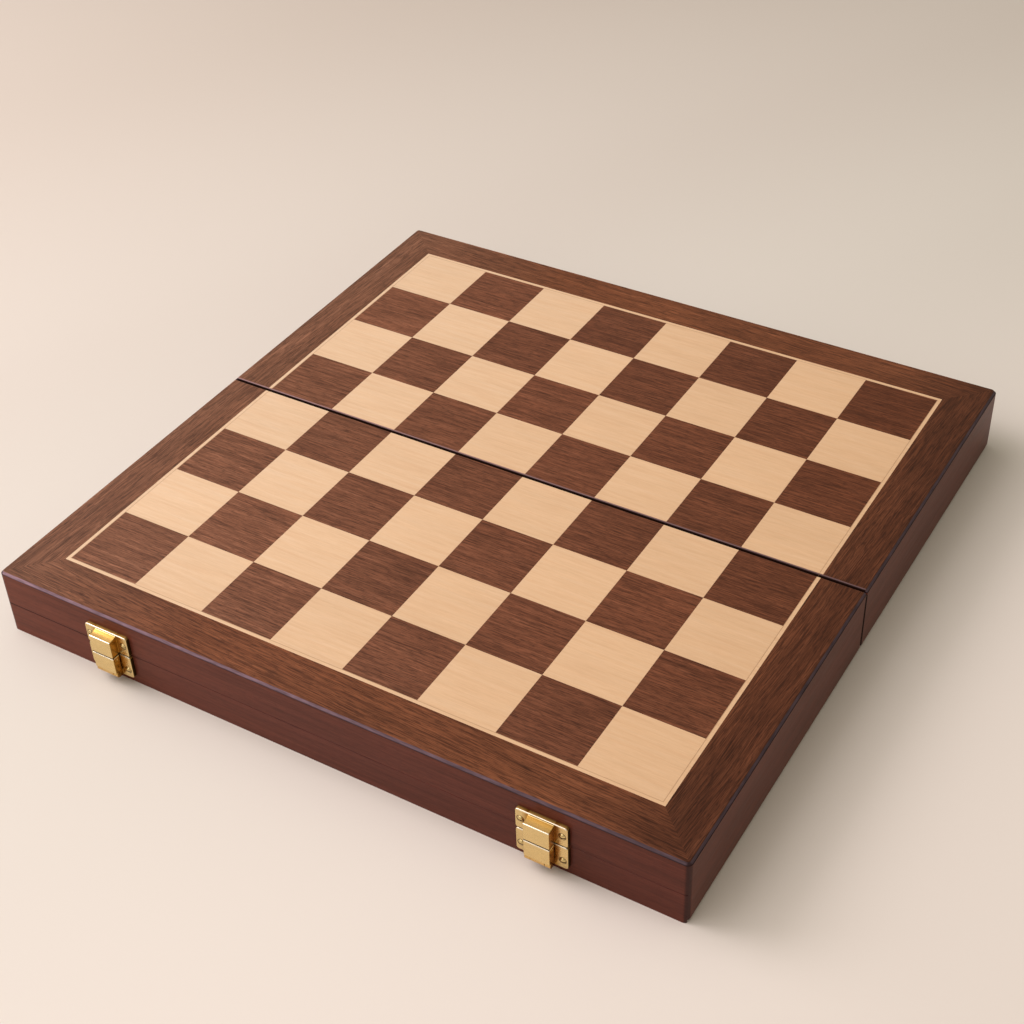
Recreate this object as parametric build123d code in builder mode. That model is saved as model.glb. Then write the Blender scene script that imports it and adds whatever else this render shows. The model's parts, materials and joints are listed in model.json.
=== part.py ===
from build123d import *
import os

# Folding chess board, open and flat on a table, in millimetres.
# +X runs along the fold to the right, +Y to the rear, +Z up.
# The origin is in the middle of the fold, on the plane that the walls stand on.

os.makedirs("parts", exist_ok=True)

# Playing field and frame
FILES = 8
square_size = 32.5
stringing_width = 1.6
border_width = 18.4
top_layer = 2.0
tile_joint = 0.06

# Walls, panel and lining
wall_height = 28.0
wall_thickness = 9.0
centre_rail_thickness = 12.0
core_thickness = 5.0
core_ledge = 4.0
seam_height = 14.2
seam_chamfer = 0.25
corner_radius = 2.2
top_edge_chamfer = 1.2
lining_thickness = 0.8
lining_margin = 3.0

# Fold
fold_gap = 1.0
fold_edge_radius = 0.8
fold_corner_radius = 0.5
underside_edge_radius = 2.1

# Flush hinges: their insets are from the ends of the centre rails to the middle of each hinge,
# and each pin lies pivot_reach from the middle of the fold and pivot_height above the underside
hinge_inset = 51.0
pivot_reach = 1.9
pivot_height = 1.8
knuckle_radius = 1.6
hinge_pin_diameter = 1.2
hinge_pin_inset = 0.4
leaf_thickness = 1.2
leaf_reach = 11.0
leaf_width = 24.0
link_width = 12.0
knuckle_gap = 0.15
mortise_clearance = 0.2
hinge_screw_spread = 8.0
hinge_screw_inset = 3.4
countersink_diameter = 3.2
countersink_depth = 0.8
hinge_screw_length = 10.0

# Latches on the front wall
latch_inset = 54.5
latch_gap = 0.3
plate_width = 20.5
plate_thickness = 1.6
plate_corner_radius = 1.2
plate_edge_radius = 0.3
keeper_height = 9.4
hasp_plate_height = 10.7
hood_width = 10.2
latch_depth = 5.4
hood_roof_drop = 1.0
hood_roof_hollow = 0.35
hood_ridge_radius = 0.4
hasp_clearance = 0.3
hasp_knuckle_radius = 1.3
hasp_knuckle_rise = 0.4
ear_width = 2.2
ear_gap = 0.15
hasp_pin_diameter = 1.0
hasp_edge_radius = 0.3
hasp_rim_radius = 0.25
dimple_radius = 1.0
dimple_depth = 0.35
dimple_inset = 1.6
keeper_screw_drop = 4.4
hasp_screw_drop = 6.9

# Strikes on the rear wall
strike_rise = 0.4
strike_seam_gap = 1.3
cheek_width = 1.3
cheek_gap = 0.2
cheek_depth = 5.0
bump_reach = 0.45

# Screws
screw_diameter = 1.6
screw_head_diameter = 2.6
screw_head_height = 0.7
screw_slot_width = 0.45
screw_slot_depth = 0.35
screw_spread = 16.2
latch_screw_length = 6.0
screw_clearance = 0.05
pin_clearance = 0.05
turning_clearance = 0.08

# How near an edge has to lie to a plane to be picked as one of its edges
reach_tolerance = 0.01

# Sizes that follow from the ones above
field_half = FILES * square_size / 2
string_half = field_half + stringing_width
board_half = string_half + border_width
board_height = wall_height + top_layer
fold_face = fold_gap / 2
well_half = board_half - wall_thickness
rail_face = fold_face + centre_rail_thickness
hinge_offset = well_half - hinge_inset
latch_offset = board_half - latch_inset
core_bottom = wall_height - core_thickness
core_half = well_half + core_ledge
core_near = rail_face - core_ledge
rim_gap = 2 * (pivot_reach - pivot_height)
hasp_back = plate_thickness + hasp_clearance
pivot_depth = (hasp_back + latch_depth) / 2
hasp_plate_top = seam_height - latch_gap / 2
hasp_plate_bottom = hasp_plate_top - hasp_plate_height
hasp_pivot_height = hasp_plate_bottom + hasp_knuckle_radius + hasp_knuckle_rise
keeper_bottom = seam_height + latch_gap / 2
keeper_top = keeper_bottom + keeper_height
hasp_length = hasp_plate_top - hasp_pivot_height
dimple_distance = hasp_length - dimple_inset
# Heights on the rear wall at which the folded flap ends and its dimple lies
strike_tip = hasp_length - hasp_pivot_height - rim_gap
strike_bump_height = dimple_distance - hasp_pivot_height - rim_gap
strike_top = seam_height - strike_seam_gap
leaf_bottom = pivot_height - knuckle_radius
leaf_top = leaf_bottom + leaf_thickness

HALVES = {"front": -1, "rear": 1}
SIDES = {"left": -1, "right": 1}


def save(part, name):
    part.label = name
    export_step(part, f"parts/{name}.step")


def half_outline(side):
    """Plan of one half, with its two outer corners rounded."""
    with BuildSketch() as plan:
        depth = board_half - fold_face
        with Locations((0, side * (fold_face + depth / 2))):
            Rectangle(2 * board_half, depth)
        fillet(plan.vertices().group_by(Axis.Y)[-1 if side > 0 else 0], corner_radius)
    return plan.sketch


def outer_strip(side, half, width):
    """Plan of a mitred strip along the front or rear edge of a square that reaches half from the middle."""
    with BuildSketch() as plan:
        with BuildLine():
            Polyline(
                (-half, side * half),
                (half, side * half),
                (half - width, side * (half - width)),
                (-half + width, side * (half - width)),
                close=True,
            )
        make_face()
        add(half_outline(side), mode=Mode.INTERSECT)
    return plan.sketch


def side_strip(side, hand, half, width):
    """Plan of a strip along the left or right edge, mitred at its outer end and square at the fold."""
    with BuildSketch() as plan:
        with BuildLine():
            Polyline(
                (hand * half, side * fold_face),
                (hand * half, side * half),
                (hand * (half - width), side * (half - width)),
                (hand * (half - width), side * fold_face),
                close=True,
            )
        make_face()
        add(half_outline(side), mode=Mode.INTERSECT)
    return plan.sketch


def fold_edges(part, side, height):
    """Edges along X on the fold face at one height."""
    return part.edges().filter_by(Axis.X).filter_by(
        lambda e: abs(e.center().Y - side * fold_face) < reach_tolerance
        and abs(e.center().Z - height) < reach_tolerance
    )


def fold_corner(part, side, hand):
    """The upright edge of a side wall where its outside meets the fold."""
    return part.edges().filter_by(Axis.Z).sort_by_distance((hand * board_half, side * fold_face, 0))[0]


def outline_edges(part, height):
    """Edges at one height that lie on the outside of the board, rounded corners included."""
    corner = board_half - corner_radius

    def outside(edge):
        middle = edge @ 0.5
        if abs(middle.Z - height) > reach_tolerance:
            return False
        if edge.geom_type == GeomType.CIRCLE:
            return True
        straight = max(abs(middle.X), abs(middle.Y))
        near = abs(straight - board_half) < reach_tolerance
        return near and min(abs(middle.X), abs(middle.Y)) < corner

    return part.edges().filter_by(outside)


def core_box(side, mode):
    depth = core_half - core_near
    with Locations((0, side * (core_near + depth / 2), core_bottom + core_thickness / 2)):
        Box(2 * core_half, depth, core_thickness, mode=mode)


def holes_along_y(places, face_y, outward, length):
    """Pilot holes in a wall, drilled from its outer face."""
    for x, z in places:
        with Locations((x, face_y - outward * length / 2, z)):
            Cylinder(
                screw_diameter / 2 + screw_clearance,
                length,
                rotation=(90, 0, 0),
                mode=Mode.SUBTRACT,
            )


def screw_places(height):
    """Where the two screws of each plate go, on both latches, as x and z."""
    return [
        (hand * latch_offset + end * screw_spread / 2, height)
        for hand in SIDES.values()
        for end in (-1, 1)
    ]


keeper_screw_height = keeper_top - keeper_screw_drop
hasp_screw_height = hasp_plate_top - hasp_screw_drop
strike_screw_height = (strike_tip + strike_top) / 2
pilot_length = latch_screw_length + screw_clearance


# Walls: the front and rear walls are an upper and a lower rail with a fine seam
for half_name, side in HALVES.items():
    outer_face = side * board_half

    with BuildPart() as upper_rail:
        with BuildSketch(Plane.XY.offset(seam_height)):
            add(outer_strip(side, board_half, wall_thickness))
        extrude(amount=wall_height - seam_height)
        chamfer(outline_edges(upper_rail, seam_height), seam_chamfer)
        core_box(side, Mode.SUBTRACT)
        if half_name == "front":
            holes_along_y(screw_places(keeper_screw_height), outer_face, side, pilot_length)
    save(upper_rail.part, f"{half_name}_wall_upper_rail")

    with BuildPart() as lower_rail:
        with BuildSketch():
            add(outer_strip(side, board_half, wall_thickness))
        extrude(amount=seam_height)
        chamfer(outline_edges(lower_rail, seam_height), seam_chamfer)
        height = hasp_screw_height if half_name == "front" else strike_screw_height
        holes_along_y(screw_places(height), outer_face, side, pilot_length)
    save(lower_rail.part, f"{half_name}_wall_lower_rail")

    for hand_name, hand in SIDES.items():
        with BuildPart() as side_wall:
            with BuildSketch():
                add(side_strip(side, hand, board_half, wall_thickness))
            extrude(amount=wall_height)
            core_box(side, Mode.SUBTRACT)
            fillet(fold_corner(side_wall, side, hand), fold_corner_radius)
            fillet(fold_edges(side_wall, side, 0), underside_edge_radius)
        save(side_wall.part, f"{half_name}_{hand_name}_wall")


# Centre rails, with mortises for the hinges
hinge_screw_places = [
    (hand * hinge_offset + end * hinge_screw_spread, leaf_reach - hinge_screw_inset)
    for hand in SIDES.values()
    for end in (-1, 1)
]


def mortise(side):
    """Pockets for the leaves and knuckles, open at the underside and at the fold."""
    leaf_depth = leaf_reach + mortise_clearance - fold_face
    knuckle_depth = pivot_reach + knuckle_radius + mortise_clearance - fold_face
    knuckle_top = pivot_height + knuckle_radius + mortise_clearance
    pocket_width = leaf_width + 2 * mortise_clearance
    for hand in SIDES.values():
        x = hand * hinge_offset
        with Locations((x, side * (fold_face + leaf_depth / 2), leaf_top / 2)):
            Box(pocket_width, leaf_depth, leaf_top, mode=Mode.SUBTRACT)
        with Locations((x, side * (fold_face + knuckle_depth / 2), knuckle_top / 2)):
            Box(pocket_width, knuckle_depth, knuckle_top, mode=Mode.SUBTRACT)


for half_name, side in HALVES.items():
    with BuildPart() as centre_rail:
        with Locations((0, side * (fold_face + rail_face) / 2, wall_height / 2)):
            Box(2 * well_half, centre_rail_thickness, wall_height)
        core_box(side, Mode.SUBTRACT)
        fillet(fold_edges(centre_rail, side, 0), underside_edge_radius)
        mortise(side)
        for x, y in hinge_screw_places:
            with Locations((x, side * y, (leaf_top + hinge_screw_length) / 2)):
                Cylinder(
                    screw_diameter / 2 + screw_clearance,
                    hinge_screw_length - leaf_top + 2 * screw_clearance,
                    mode=Mode.SUBTRACT,
                )
    save(centre_rail.part, f"{half_name}_centre_rail")


# Playing panel: plywood core, walnut border, maple stringing and the squares
for half_name, side in HALVES.items():
    with BuildPart() as core:
        core_box(side, Mode.ADD)
    save(core.part, f"{half_name}_panel_core")

    with BuildPart() as end_border:
        with BuildSketch(Plane.XY.offset(wall_height)):
            add(outer_strip(side, board_half, border_width))
        extrude(amount=top_layer)
        chamfer(outline_edges(end_border, board_height), top_edge_chamfer)
    save(end_border.part, f"{half_name}_border_long")

    for hand_name, hand in SIDES.items():
        with BuildPart() as side_border:
            with BuildSketch(Plane.XY.offset(wall_height)):
                add(side_strip(side, hand, board_half, border_width))
            extrude(amount=top_layer)
            chamfer(outline_edges(side_border, board_height), top_edge_chamfer)
            fillet(fold_edges(side_border, side, board_height), fold_edge_radius)
        save(side_border.part, f"{half_name}_border_{hand_name}")

    with BuildPart() as stringing:
        with BuildSketch(Plane.XY.offset(wall_height)):
            add(outer_strip(side, string_half, stringing_width))
        extrude(amount=top_layer)
        for hand in SIDES.values():
            with BuildSketch(Plane.XY.offset(wall_height)):
                add(side_strip(side, hand, string_half, stringing_width))
            extrude(amount=top_layer, clean=False)
        fillet(fold_edges(stringing, side, board_height), fold_edge_radius)
    save(stringing.part, f"{half_name}_stringing")

    for colour, remainder in {"walnut": 0, "maple": 1}.items():
        with BuildPart() as squares:
            for file in range(FILES):
                for row in range(FILES // 2):
                    rank = FILES // 2 + row if side > 0 else FILES // 2 - 1 - row
                    if (file + rank) % 2 != remainder:
                        continue
                    near = fold_face if row == 0 else row * square_size + tile_joint / 2
                    far = (row + 1) * square_size - tile_joint / 2
                    x = (file + 0.5) * square_size - field_half
                    with Locations((x, side * (near + far) / 2, wall_height + top_layer / 2)):
                        Box(square_size - tile_joint, far - near, top_layer)
            fillet(fold_edges(squares, side, board_height), fold_edge_radius)
        save(squares.part, f"{half_name}_{colour}_squares")

    with BuildPart() as lining:
        depth = well_half - rail_face
        middle = side * (rail_face + well_half) / 2
        height = core_bottom - lining_margin
        with Locations((0, middle, lining_margin + height / 2)):
            Box(2 * well_half, depth, height)
        with Locations((0, middle, lining_margin + (height - lining_thickness) / 2)):
            Box(
                2 * (well_half - lining_thickness),
                depth - 2 * lining_thickness,
                height - lining_thickness,
                mode=Mode.SUBTRACT,
            )
    save(lining.part, f"{half_name}_well_lining")


# Hinges: a leaf on each half, a link between them and a pin through each pair of knuckles
def eye(y, width, radius, mode=Mode.ADD):
    """Round bar or bore along X, on one hinge axis."""
    with Locations((0, y, pivot_height)):
        Cylinder(radius, width, rotation=(0, 90, 0), mode=mode)


def hinge_leaf(side):
    knuckle_width = leaf_width / 2 - link_width / 2 - knuckle_gap
    knuckle_middle = leaf_width / 2 - knuckle_width / 2
    pivot = side * pivot_reach
    with BuildPart() as leaf:
        depth = leaf_reach - pivot_reach
        with Locations((0, side * (pivot_reach + depth / 2), leaf_bottom + leaf_thickness / 2)):
            Box(leaf_width, depth, leaf_thickness)
        fillet(
            leaf.edges().filter_by(Axis.Z).group_by(Axis.Y)[-1 if side > 0 else 0],
            plate_corner_radius,
        )
        for end in (-1, 1):
            with Locations((end * knuckle_middle, pivot, pivot_height)):
                Cylinder(knuckle_radius, knuckle_width, rotation=(0, 90, 0))
        # The link's eye turns in the notch between the two knuckles
        notch_reach = pivot_reach + knuckle_radius + mortise_clearance
        with Locations((0, side * notch_reach / 2, pivot_height)):
            Box(link_width + 2 * knuckle_gap, notch_reach, 2 * knuckle_radius, mode=Mode.SUBTRACT)
        eye(pivot, leaf_width, hinge_pin_diameter / 2 + pin_clearance, Mode.SUBTRACT)
        for end in (-1, 1):
            with Locations((end * hinge_screw_spread, side * (leaf_reach - hinge_screw_inset), 0)):
                with Locations((0, 0, leaf_bottom + countersink_depth / 2)):
                    Cone(
                        countersink_diameter / 2 + screw_clearance,
                        screw_diameter / 2 + screw_clearance,
                        countersink_depth,
                        mode=Mode.SUBTRACT,
                    )
                with Locations((0, 0, leaf_top)):
                    Cylinder(screw_diameter / 2 + screw_clearance, 2 * leaf_thickness, mode=Mode.SUBTRACT)
    return leaf.part


with BuildPart() as link:
    for end in (-1, 1):
        eye(end * pivot_reach, link_width, knuckle_radius)
    with Locations((0, 0, pivot_height)):
        Box(link_width, 2 * pivot_reach, 2 * knuckle_radius)
    for end in (-1, 1):
        eye(end * pivot_reach, link_width, hinge_pin_diameter / 2 + turning_clearance, Mode.SUBTRACT)

with BuildPart() as hinge_screw:
    with Locations((0, 0, leaf_bottom + countersink_depth / 2)):
        Cone(countersink_diameter / 2, screw_diameter / 2, countersink_depth)
    shank = hinge_screw_length - leaf_bottom - countersink_depth
    with Locations((0, 0, leaf_bottom + countersink_depth + shank / 2)):
        Cylinder(screw_diameter / 2, shank)
    with Locations((0, 0, leaf_bottom + screw_slot_depth / 2)):
        Box(countersink_diameter, screw_slot_width, screw_slot_depth, mode=Mode.SUBTRACT)

for hand_name, hand in SIDES.items():
    with BuildPart() as placed_link:
        with Locations((hand * hinge_offset, 0, 0)):
            add(link.part)
    save(placed_link.part, f"{hand_name}_hinge_link")

for half_name, side in HALVES.items():
    for hand_name, hand in SIDES.items():
        with BuildPart() as placed_leaf:
            with Locations((hand * hinge_offset, 0, 0)):
                add(hinge_leaf(side))
        save(placed_leaf.part, f"{half_name}_{hand_name}_hinge_leaf")

    with BuildPart() as hinge_pins:
        for hand in SIDES.values():
            with Locations((hand * hinge_offset, side * pivot_reach, pivot_height)):
                Cylinder(hinge_pin_diameter / 2, leaf_width - hinge_pin_inset, rotation=(0, 90, 0))
    save(hinge_pins.part, f"{half_name}_hinge_pins")

    with BuildPart() as hinge_screws:
        with Locations([(x, side * y, 0) for x, y in hinge_screw_places]):
            add(hinge_screw.part)
    save(hinge_screws.part, f"{half_name}_hinge_screws")


# Latches: plates screwed to the front wall, with a hooded keeper above and a turning flap below
def wall_plane(side):
    """Plane on the outside of the front or rear wall, with its own Y upwards and its normal outwards."""
    return Plane(origin=(0, side * board_half, 0), x_dir=(-side, 0, 0), z_dir=(0, side, 0))


def plate(side, x, bottom, height):
    """Flat plate on a wall with softened corners and front edges."""
    with BuildPart() as blank:
        with BuildSketch(wall_plane(side)):
            with Locations((-side * x, bottom + height / 2)):
                RectangleRounded(plate_width, height, plate_corner_radius)
        extrude(amount=plate_thickness)
        front = blank.faces().sort_by(Axis.Y)[-1 if side > 0 else 0]
        fillet(front.edges(), plate_edge_radius)
    return blank.part


def drill_plate(side, x, height):
    """Cuts a screw hole at each end of a plate."""
    for end in (-1, 1):
        place = (x + end * screw_spread / 2, side * (board_half + plate_thickness / 2), height)
        with Locations(place):
            Cylinder(
                screw_diameter / 2 + screw_clearance,
                plate_thickness,
                rotation=(90, 0, 0),
                mode=Mode.SUBTRACT,
            )


def hood(side, x, mouth, crown):
    """Raised box on a plate: flat front, mouth end square to the wall, crown end with a hollowed roof."""
    root = plate_thickness / 2
    outward = 1 if crown > mouth else -1
    low_roof = crown - outward * hood_roof_drop

    def at(depth, z):
        return (side * (board_half + depth), z)

    middle = ((root + latch_depth) / 2, (crown + low_roof) / 2 - outward * hood_roof_hollow)
    with BuildPart() as raised:
        with BuildSketch(Plane.YZ.offset(x - hood_width / 2)):
            with BuildLine():
                Polyline(at(root, crown), at(root, mouth), at(latch_depth, mouth), at(latch_depth, low_roof))
                ThreePointArc(at(latch_depth, low_roof), at(*middle), at(root, crown))
            make_face()
        extrude(amount=hood_width)
        ridge = raised.edges().sort_by_distance((x, side * (board_half + latch_depth), low_roof))[0]
        fillet(ridge, hood_ridge_radius)
        front = raised.faces().sort_by(Axis.Y)[-1 if side > 0 else 0]
        fillet(front.edges().filter_by(Axis.Z), hasp_edge_radius)
    return raised.part


def latch_keeper(x):
    with BuildPart() as keeper:
        add(plate(-1, x, keeper_bottom, keeper_height))
        add(hood(-1, x, keeper_bottom, keeper_top - plate_edge_radius))
        drill_plate(-1, x, keeper_screw_height)
    return keeper.part


def hasp_plate(x):
    """Lower plate with two ears that hold the flap's pin."""
    with BuildPart() as lower:
        add(plate(-1, x, hasp_plate_bottom, hasp_plate_height))
        for end in (-1, 1):
            ear_middle = x + end * (hood_width / 2 - ear_width / 2)
            with Locations((ear_middle, -board_half - pivot_depth, hasp_pivot_height)):
                Cylinder(hasp_knuckle_radius, ear_width, rotation=(0, 90, 0))
            neck = pivot_depth - plate_thickness / 2
            with Locations((ear_middle, -board_half - pivot_depth + neck / 2, hasp_pivot_height)):
                Box(ear_width, neck, 2 * hasp_knuckle_radius)
        with Locations((x, -board_half - pivot_depth, hasp_pivot_height)):
            Cylinder(
                hasp_pin_diameter / 2 + pin_clearance,
                hood_width,
                rotation=(0, 90, 0),
                mode=Mode.SUBTRACT,
            )
        drill_plate(-1, x, hasp_screw_height)
    return lower.part


def hasp(x):
    """Flap that stands in line with the hood, turns on a pin at its lower end and snaps at its sides."""
    knuckle_width = hood_width - 2 * (ear_width + ear_gap)
    shoulder = hasp_pivot_height + hasp_knuckle_radius + ear_gap
    thickness = latch_depth - hasp_back
    y = -board_half - pivot_depth
    with BuildPart() as flap:
        with Locations((x, y, (shoulder + hasp_plate_top) / 2)):
            Box(hood_width, thickness, hasp_plate_top - shoulder)
        fillet(flap.edges().filter_by(Axis.Z), hasp_edge_radius)
        fillet(flap.faces().sort_by(Axis.Z)[-1].edges(), hasp_rim_radius)
        with Locations((x, y, (hasp_pivot_height + shoulder) / 2)):
            Box(knuckle_width, 2 * hasp_knuckle_radius, shoulder - hasp_pivot_height)
        with Locations((x, y, hasp_pivot_height)):
            Cylinder(hasp_knuckle_radius, knuckle_width, rotation=(0, 90, 0))
            Cylinder(
                hasp_pin_diameter / 2 + turning_clearance,
                knuckle_width,
                rotation=(0, 90, 0),
                mode=Mode.SUBTRACT,
            )
        for end in (-1, 1):
            centre = hood_width / 2 + dimple_radius - dimple_depth
            with Locations((x + end * centre, y, hasp_pivot_height + dimple_distance)):
                Sphere(dimple_radius, rotation=(0, 90, 0), mode=Mode.SUBTRACT)
    return flap.part


def strike(x):
    """Plate on the rear wall with two cheeks, whose bumps snap into the flap's sides, and a hood beyond."""
    cheek_top = strike_tip + cheek_gap
    with BuildPart() as catch:
        add(plate(1, x, strike_rise, strike_top - strike_rise))
        add(hood(1, x, cheek_top + cheek_gap, strike_top - plate_edge_radius))
        for end in (-1, 1):
            inner = hood_width / 2 + cheek_gap
            depth = cheek_depth - plate_thickness / 2
            height = cheek_top - strike_rise
            place = (
                x + end * (inner + cheek_width / 2),
                board_half + plate_thickness / 2 + depth / 2,
                strike_rise + height / 2,
            )
            with Locations(place):
                Box(cheek_width, depth, height)
            bump_centre = inner + dimple_radius - bump_reach
            with Locations((x + end * bump_centre, board_half + pivot_depth, strike_bump_height)):
                Sphere(dimple_radius, rotation=(0, 90, 0))
        drill_plate(1, x, strike_screw_height)
    return catch.part


with BuildPart() as round_screw:
    with BuildSketch(Plane.XZ) as profile:
        with BuildLine():
            Polyline(
                (0, screw_head_height),
                (0, -latch_screw_length - plate_thickness),
                (screw_diameter / 2, -latch_screw_length - plate_thickness),
                (screw_diameter / 2, 0),
                (screw_head_diameter / 2, 0),
            )
            RadiusArc(
                (screw_head_diameter / 2, 0),
                (0, screw_head_height),
                -(screw_head_diameter**2 / 4 + screw_head_height**2) / (2 * screw_head_height),
            )
        make_face()
    revolve(axis=Axis.Z)
    with Locations((0, 0, screw_head_height - screw_slot_depth / 2)):
        Box(screw_head_diameter, screw_slot_width, screw_slot_depth, mode=Mode.SUBTRACT)


def screw_set(side, heights):
    """Round-head screws in both plates of a kind, heads outwards."""
    with BuildPart() as screws:
        for height in heights:
            for x, z in screw_places(height):
                place = Location((x, side * (board_half + plate_thickness), z), (-90 * side, 0, 0))
                with Locations(place):
                    add(round_screw.part)
    return screws.part


for hand_name, hand in SIDES.items():
    x = hand * latch_offset
    save(latch_keeper(x), f"{hand_name}_latch_keeper")
    save(hasp_plate(x), f"{hand_name}_hasp_plate")
    save(hasp(x), f"{hand_name}_hasp")
    save(strike(x), f"{hand_name}_strike_plate")
    with BuildPart() as hasp_pin:
        with Locations((x, -board_half - pivot_depth, hasp_pivot_height)):
            Cylinder(hasp_pin_diameter / 2, hood_width, rotation=(0, 90, 0))
    save(hasp_pin.part, f"{hand_name}_hasp_pin")

save(screw_set(-1, (keeper_screw_height, hasp_screw_height)), "latch_screws")
save(screw_set(1, (strike_screw_height,)), "strike_screws")
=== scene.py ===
import json
import math

import bpy
from bpy.props import FloatProperty, FloatVectorProperty, PointerProperty
from mathutils import Matrix, Vector


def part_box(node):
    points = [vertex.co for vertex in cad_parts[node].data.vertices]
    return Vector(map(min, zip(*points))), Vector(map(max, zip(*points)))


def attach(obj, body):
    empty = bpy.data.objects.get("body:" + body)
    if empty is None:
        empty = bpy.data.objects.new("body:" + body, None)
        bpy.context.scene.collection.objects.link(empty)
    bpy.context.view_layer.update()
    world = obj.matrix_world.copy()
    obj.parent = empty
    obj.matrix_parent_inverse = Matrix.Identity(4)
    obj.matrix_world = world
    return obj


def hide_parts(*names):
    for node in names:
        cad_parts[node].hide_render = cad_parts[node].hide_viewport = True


bl_info = {
    "name": "Folding chess board",
    "version": (1, 0, 0),
    "blender": (4, 5, 0),
    "location": "View3D > Sidebar > Chess board",
    "description": "Finishes a folding chess board of walnut, maple and brass around its fixed frame",
    "category": "Object",
}

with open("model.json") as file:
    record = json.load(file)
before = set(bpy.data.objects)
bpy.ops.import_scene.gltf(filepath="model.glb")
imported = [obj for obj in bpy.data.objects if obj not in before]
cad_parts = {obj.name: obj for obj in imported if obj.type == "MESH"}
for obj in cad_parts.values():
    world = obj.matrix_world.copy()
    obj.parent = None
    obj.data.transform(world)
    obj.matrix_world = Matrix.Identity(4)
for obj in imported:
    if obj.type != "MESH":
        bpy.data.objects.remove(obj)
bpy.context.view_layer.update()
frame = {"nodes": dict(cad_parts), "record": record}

MM = 0.001
HALVES = ("front", "rear")
HANDS = ("left", "right")

# Sizes that the frame doesn't give, as in the part's source
STRINGING = 1.6 * MM
CORNER_RADIUS = 2.2 * MM
CHAMFER = 1.2 * MM
PLATE_HALF = 10.25 * MM
HOOD_HALF = 5.1 * MM
SCREW_HEAD = 1.3 * MM
RIDGE_DROP = 1.3 * MM
LINING = 0.8 * MM

# Where each stain, line, painted highlight or painted shade is still full and where it has faded out, from
# the edge or fold that it follows
FOLD_EDGE_HIGHLIGHT = (0.6 * MM, 0.85 * MM)
FOLD_GAP_SHADE = (0.22 * MM, 0.34 * MM)
RAIL_END_SHADE = (0.3 * MM, 0.5 * MM)
OUTER_FACE = (0.9 * MM, 1.2 * MM)
CHAMFER_STAIN_AND_SHEEN = (0.3 * MM, 0.16 * MM)
SEAM_LINE = (0.15 * MM, 0.4 * MM)
GLUE_LINE = (0.2 * MM, 0.32 * MM)
RIGHT_BORDER_ENDS = (135 * MM, 70 * MM)
KEEPER_FOOT_LINE = (0.4 * MM, 0.5 * MM)
SCREW_RING = (0.15 * MM, 0.4 * MM)
SCREW_SLOT = (0.2 * MM, 0.28 * MM)
PLATE_RIM = (0.06 * MM, 0.14 * MM)
HOOD_SHADE = (0.5 * MM, 2.5 * MM)
CUT_EDGE = (1.2 * MM, 1.5 * MM)

# Sizes of patterns and of soft corners; the squares' patterns start up to a veneer spread apart
PLY = 1.2 * MM
TRAY_ROUNDING = 2.5 * MM
VENEER_SPREAD = 700 * MM

# Sizes read from the frame
BOARD_HALF = -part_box("front_wall_lower_rail")[0].y
BOARD_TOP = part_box("front_border_left")[1].z
FOLD_FACE = -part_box("front_left_wall")[1].y
SQUARE = (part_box("front_stringing")[1].x - STRINGING) / 4
FIELD_HALF = 4 * SQUARE
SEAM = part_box("front_wall_lower_rail")[1].z
KEEPER_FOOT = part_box("left_latch_keeper")[0].z
KEEPER_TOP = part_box("left_latch_keeper")[1].z
HASP_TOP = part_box("left_hasp")[1].z
LATCH_DEPTH = -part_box("left_latch_keeper")[0].y - BOARD_HALF
LATCH_MIDDLE = sum(corner.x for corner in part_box("right_latch_keeper")) / 2
SCREW_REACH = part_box("latch_screws")[1].x - SCREW_HEAD - LATCH_MIDDLE
SCREW_HEIGHTS = (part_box("latch_screws")[0].z + SCREW_HEAD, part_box("latch_screws")[1].z - SCREW_HEAD)


def linear(colour):
    """An sRGB hex value as the linear colour that a shader takes."""
    values = [int(colour[i : i + 2], 16) / 255 for i in (1, 3, 5)]
    curve = [v / 12.92 if v <= 0.04045 else ((v + 0.055) / 1.055) ** 2.4 for v in values]
    return (*curve, 1.0)


def add_node(tree, kind, *values, named=None, output=0, **settings):
    """Adds a node with its settings, fills or links its shown inputs in order, and returns an output."""
    made = tree.nodes.new("ShaderNode" + kind)
    for name, value in settings.items():
        setattr(made, name, value)
    shown = [socket for socket in made.inputs if socket.enabled]
    filled = [*zip(shown, values), *((made.inputs[key], value) for key, value in (named or {}).items())]
    for socket, value in filled:
        if isinstance(value, bpy.types.NodeSocket):
            tree.links.new(value, socket)
        else:
            socket.default_value = value
    if isinstance(output, str):
        return made.outputs[output]
    return next((socket for socket in made.outputs if socket.enabled), None)


def blank_material(name):
    """A material with its Principled shader, and the object coordinates that its patterns start from."""
    material = bpy.data.materials.new(name)
    material.use_nodes = True
    tree = material.node_tree
    tree.nodes.clear()
    surface = add_node(tree, "BsdfPrincipled")
    add_node(tree, "OutputMaterial", surface)
    return material, tree, surface.node.inputs, add_node(tree, "TexCoord", output="Object")


def shaded(tree, colour, pattern, depth, low=0.3, high=0.7):
    """The colour made darker or lighter by up to depth, as a pattern goes from low to high."""
    shade = add_node(tree, "MapRange", pattern, low, high, 1 - depth, 1 + depth)
    return add_node(tree, "VectorMath", colour, operation="SCALE", named={"Scale": shade})


def grain_noise(tree, place, grain, length, width, detail, output="Fac"):
    """Noise drawn out along the grain, with features of a real length and width."""
    along, across = 1 / length, 1 / width
    scale = (along, across, across) if grain == "X" else (across, along, across)
    stretched = add_node(tree, "VectorMath", place, scale, operation="MULTIPLY")
    return add_node(tree, "TexNoise", stretched, 1.0, detail, 0.6, output=output)


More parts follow.
